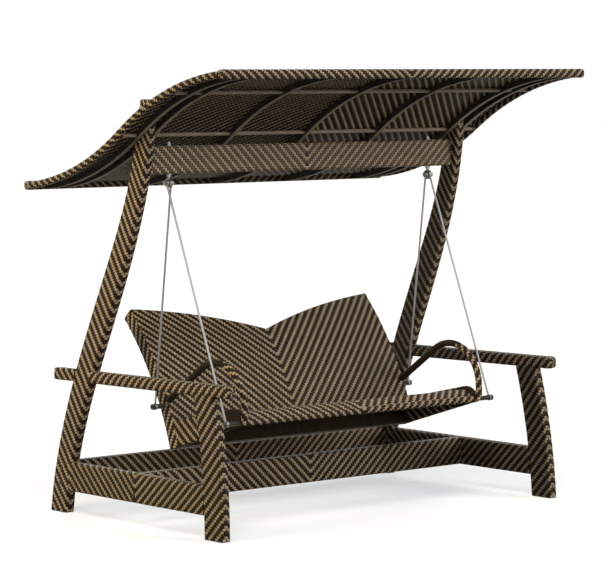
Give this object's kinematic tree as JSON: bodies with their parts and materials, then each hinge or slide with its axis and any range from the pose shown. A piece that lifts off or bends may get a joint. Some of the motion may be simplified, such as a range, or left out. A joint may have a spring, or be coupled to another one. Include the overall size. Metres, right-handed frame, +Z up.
{
  "type": "garden swing",
  "caption": "Garden swing with a winged wicker bench hung on steel rods under an S-curved woven canopy, on a leaning wicker-wrapped frame with armrests.",
  "frame": {"origin": "on the floor under the middle of the canopy, the bottom centre of the whole part", "axes": "X runs along the bench from left to right, Y from the front to the back, Z up"},
  "size_m": [2.144, 1.4056, 1.9799],
  "materials": {
    "wicker": "flat resin strands in tan and dark brown, woven in a twill herringbone",
    "dark_metal": "dark brown powder coat",
    "steel": "drawn stainless steel",
    "nylon": "moulded black nylon"
  },
  "bodies": {
    "frame": {"right_rear_post": "wicker", "left_rear_post": "wicker", "right_front_leg": "wicker", "left_front_leg": "wicker", "right_side_rail": "wicker", "left_side_rail": "wicker", "right_armrest": "wicker", "left_armrest": "wicker", "armrest_tails": "wicker", "top_beam": "wicker", "mid_cross_rail": "wicker", "rear_cross_rail": "wicker", "right_canopy_side_edge": "wicker", "left_canopy_side_edge": "wicker", "canopy_front_edge": "wicker", "canopy_rear_edge": "wicker", "canopy_skin": "wicker", "centre_rib": "dark_metal", "right_middle_rib": "dark_metal", "left_middle_rib": "dark_metal", "inner_post_ribs": "dark_metal", "outer_post_ribs": "dark_metal", "lower_purlin": "dark_metal", "upper_purlin": "dark_metal", "purlin_stubs": "dark_metal", "frame_bolts": "steel", "canopy_bolts": "steel", "canopy_nuts": "steel", "right_eye_bolt": "steel", "left_eye_bolt": "steel", "eye_bolt_washers": "steel", "eye_bolt_nuts": "steel", "eye_bushes": "nylon", "foot_glides": "nylon"},
    "bench": {"back_front_weave": "wicker", "back_rear_weave": "wicker", "right_wing_tube": "wicker", "left_wing_tube": "wicker", "right_back_side_tube": "wicker", "left_back_side_tube": "wicker", "back_centre_tube": "dark_metal", "back_foot_tube": "dark_metal", "seat_weave": "wicker", "seat_front_tube": "wicker", "right_seat_side": "wicker", "left_seat_side": "wicker", "seat_stretchers": "dark_metal", "right_seat_arm": "wicker", "left_seat_arm": "wicker", "right_front_hanger_rod": "steel", "left_front_hanger_rod": "steel", "right_rear_hanger_rod": "steel", "left_rear_hanger_rod": "steel", "right_hanger_pin": "steel", "left_hanger_pin": "steel", "pin_nuts": "steel", "front_hanger_bar": "steel", "rear_hanger_bar": "steel", "bar_spacers": "dark_metal", "bar_nuts": "steel"}
  },
  "joints": [
    {"name": "swing", "type": "hinge", "parent": "frame", "child": "bench", "pos_m": [0, 0.03, 1.484], "axis": [1, 0, 0], "range_deg": [-20, 20]}
  ]
}
